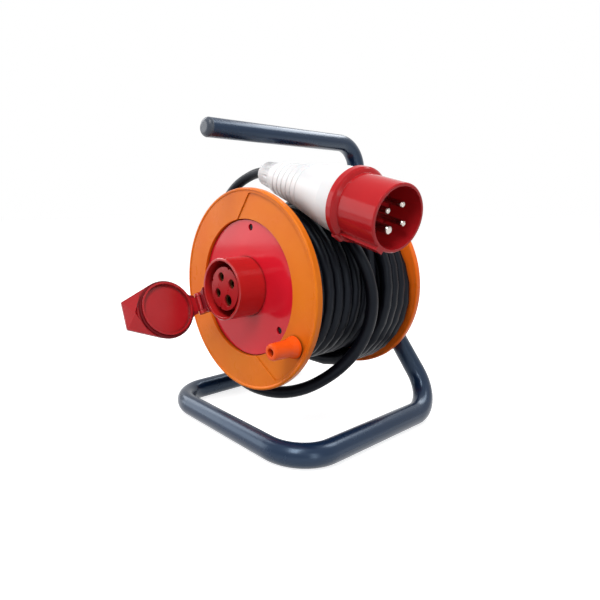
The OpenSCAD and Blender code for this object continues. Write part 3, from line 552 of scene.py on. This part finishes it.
# The thumb grip: it starts at this radius, outside the socket's rim, and ends short of the
# tab's tip. It is sunk into the tab and has its peak this far past the edge of the lid's disc
GRIP_R = 27.7
GRIP_ANGLES = (-43, -21, 0, 21, 43)
GRIP_HALF_WIDTH = 11.2
GRIP_FROM_TIP = 0.8
GRIP_SUNK = 1
GRIP_HEIGHT = 3
GRIP_PEAK = 5
GRIP_BEVEL = 0.00015


def on_axle(x, y, z):
    """A point of the drum, in metres: z is 0 at its front face and points out of it."""
    return on_stand(x, -z, AXLE_H + y)


def by_hinge(x, y, z):
    """A point on the socket's side of the hinge: x leads away from the socket."""
    c, d = math.cos(math.radians(HINGE_DIR)), math.sin(math.radians(HINGE_DIR))
    x += HINGE_AT
    return on_axle(x * c - y * d, x * d + y * c, z + HINGE_Z)


def on_lid(x, y, z):
    """A point of the lid, given as if the lid were closed: x = 0 at the hinge."""
    c, d = math.cos(math.radians(LID_OPEN)), math.sin(math.radians(LID_OPEN))
    return by_hinge(x * c + z * d, y, -x * d + z * c)


def solid_piece(name, body, finish, points, faces, bevel=EDGE_BEVEL):
    """A closed mesh with rounded edges that rides on a body."""
    mesh = bpy.data.meshes.new(name)
    mesh.from_pydata([tuple(p) for p in points], [], faces)
    mesh.update()
    piece = bpy.data.objects.new(name, mesh)
    bpy.context.scene.collection.objects.link(piece)
    edges = piece.modifiers.new("edges", "BEVEL")
    edges.width = bevel
    edges.segments = 3
    piece.data.materials.append(materials[finish])
    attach(piece, body)
    return piece


def prism(place, outline, low, high):
    """Points and faces of an outline in x and y drawn out from low to high."""
    count = len(outline)
    points = [place(x, y, low) for x, y in outline] + [place(x, y, high) for x, y in outline]
    faces = [tuple(range(count))[::-1], tuple(range(count, 2 * count))]
    faces += [(i, (i + 1) % count, count + (i + 1) % count, count + i) for i in range(count)]
    return points, faces


def thumb_grip():
    """Points and faces of a low pyramid on the tab, with its facets meeting at the peak."""
    disc_edge = -HINGE_AT - LID_R
    far = disc_edge - TAB_LEN + GRIP_FROM_TIP
    arc = [math.radians(angle) for angle in GRIP_ANGLES]
    outline = [(far, GRIP_HALF_WIDTH), (far, -GRIP_HALF_WIDTH)]
    outline += [(-HINGE_AT - GRIP_R * math.cos(a), GRIP_R * math.sin(a)) for a in arc]
    count = len(outline)
    points = [(x, y, 0) for x, y in outline] + [(x, y, GRIP_SUNK) for x, y in outline]
    points.append((disc_edge - GRIP_PEAK, 0, -GRIP_HEIGHT))
    after = [(i, (i + 1) % count) for i in range(count)]
    faces = [(i, j, 2 * count) for i, j in after]
    faces += [(j, i, count + i, count + j) for i, j in after]
    faces.append(tuple(range(count, 2 * count))[::-1])
    return [on_lid(x, y, LID_UNDER + z) for x, y, z in points], faces


# Web that flares from the hinge ears to the socket's rim
solid_piece("hinge_web", "drum", "strap_red_shaded", *prism(by_hinge, HINGE_WEB, *HINGE_WEB_Z))

# Flared neck between the lid's hinge knuckle and its disc
solid_piece("lid_neck", "lid", "strap_red_shaded", *prism(on_lid, LID_NECK, *LID_NECK_Z))

# Faceted thumb grip on the inside of the lid's tab
solid_piece("tab_grip", "lid", "lid_red", *thumb_grip(), GRIP_BEVEL)

# ---- floor and light -------------------------------------------------------------

FLOOR_HALF = 12.0

# Seen: by the camera, and in mirrors and glass. Unseen: by scattered light
FLOOR_SEEN = 0.62
FLOOR_UNSEEN = 0.30
FLOOR_GLOW = 0.80
WORLD_SEEN = 1.0
WORLD_FILL = 0.27

# The point that most lamps are aimed at, in metres
MIDDLE = (0, 0, 0.14)

# Place, point aimed at and width by height in metres, and power in watts
LAMPS = {
    "key": ((-1.05, -0.90, 0.52), (0, -0.04, 0.52), (0.9, 0.9), 8),
    "front_top": ((0.40, -0.62, 1.15), MIDDLE, (0.30, 0.85), 11),
    "left_top": ((-0.95, -0.20, 0.85), MIDDLE, (0.5, 0.8), 6),
    "rear_top": ((0.12, 0.80, 1.05), MIDDLE, (0.9, 0.35), 7),
    "right": ((1.15, -0.30, 0.38), MIDDLE, (0.2, 0.8), 2.5),
}


def seen_by_eye(tree):
    """1 for rays from the camera and those mirrored or let through, 0 for scattered light."""
    path = add_node(tree, "LightPath")
    total = path.outputs["Is Camera Ray"]
    for kind in ("Is Glossy Ray", "Is Transmission Ray"):
        either = add_node(tree, "Math", operation="MAXIMUM")
        link(tree, total, either.inputs[0])
        link(tree, path.outputs[kind], either.inputs[1])
        total = either.outputs["Value"]
    return total


def make_floor():
    """A pale floor that glows where it is seen, and throws less light back at the object."""
    mesh = bpy.data.meshes.new("floor")
    corners = [(-1, -1), (1, -1), (1, 1), (-1, 1)]
    mesh.from_pydata([(x * FLOOR_HALF, y * FLOOR_HALF, 0) for x, y in corners], [], [(0, 1, 2, 3)])
    floor = bpy.data.objects.new("floor", mesh)
    bpy.context.scene.collection.objects.link(floor)
    # Only its roughness and grain count, as the colour is replaced below
    paper = surface(
        "floor_paper", (FLOOR_SEEN,) * 3, 0.85, patch=2, grain=300, grain_depth=0.00002,
        specular=0.1)
    tree = paper.node_tree
    shader = tree.nodes["Principled BSDF"]
    seen = seen_by_eye(tree)
    shade = remap(tree, seen, target=(FLOOR_UNSEEN, FLOOR_SEEN))
    link(tree, shade, shader.inputs["Base Color"])
    shader.inputs["Emission Color"].default_value = (1, 1, 1, 1)
    glow = remap(tree, seen, target=(0, FLOOR_GLOW))
    link(tree, glow, shader.inputs["Emission Strength"])
    floor.data.materials.append(paper)


def soft_light(name, at, aim, size, power):
    """A rectangular lamp that faces the point it is aimed at."""
    data = bpy.data.lights.new(name, "AREA")
    data.shape = "RECTANGLE"
    data.size, data.size_y = size
    data.energy = power
    light = bpy.data.objects.new(name, data)
    light.location = at
    light.rotation_euler = (Vector(aim) - Vector(at)).to_track_quat("-Z", "Y").to_euler()
    bpy.context.scene.collection.objects.link(light)


def make_world():
    """White where it is seen, and an even fill light."""
    world = bpy.data.worlds.new("world")
    world.use_nodes = True
    tree = world.node_tree
    background = tree.nodes["Background"]
    background.inputs["Color"].default_value = (1, 1, 1, 1)
    strength = remap(tree, seen_by_eye(tree), target=(WORLD_FILL, WORLD_SEEN))
    link(tree, strength, background.inputs["Strength"])
    bpy.context.scene.world = world


make_floor()
for name, lamp in LAMPS.items():
    soft_light(name, *lamp)
make_world()
bpy.context.scene.view_settings.view_transform = "Standard"
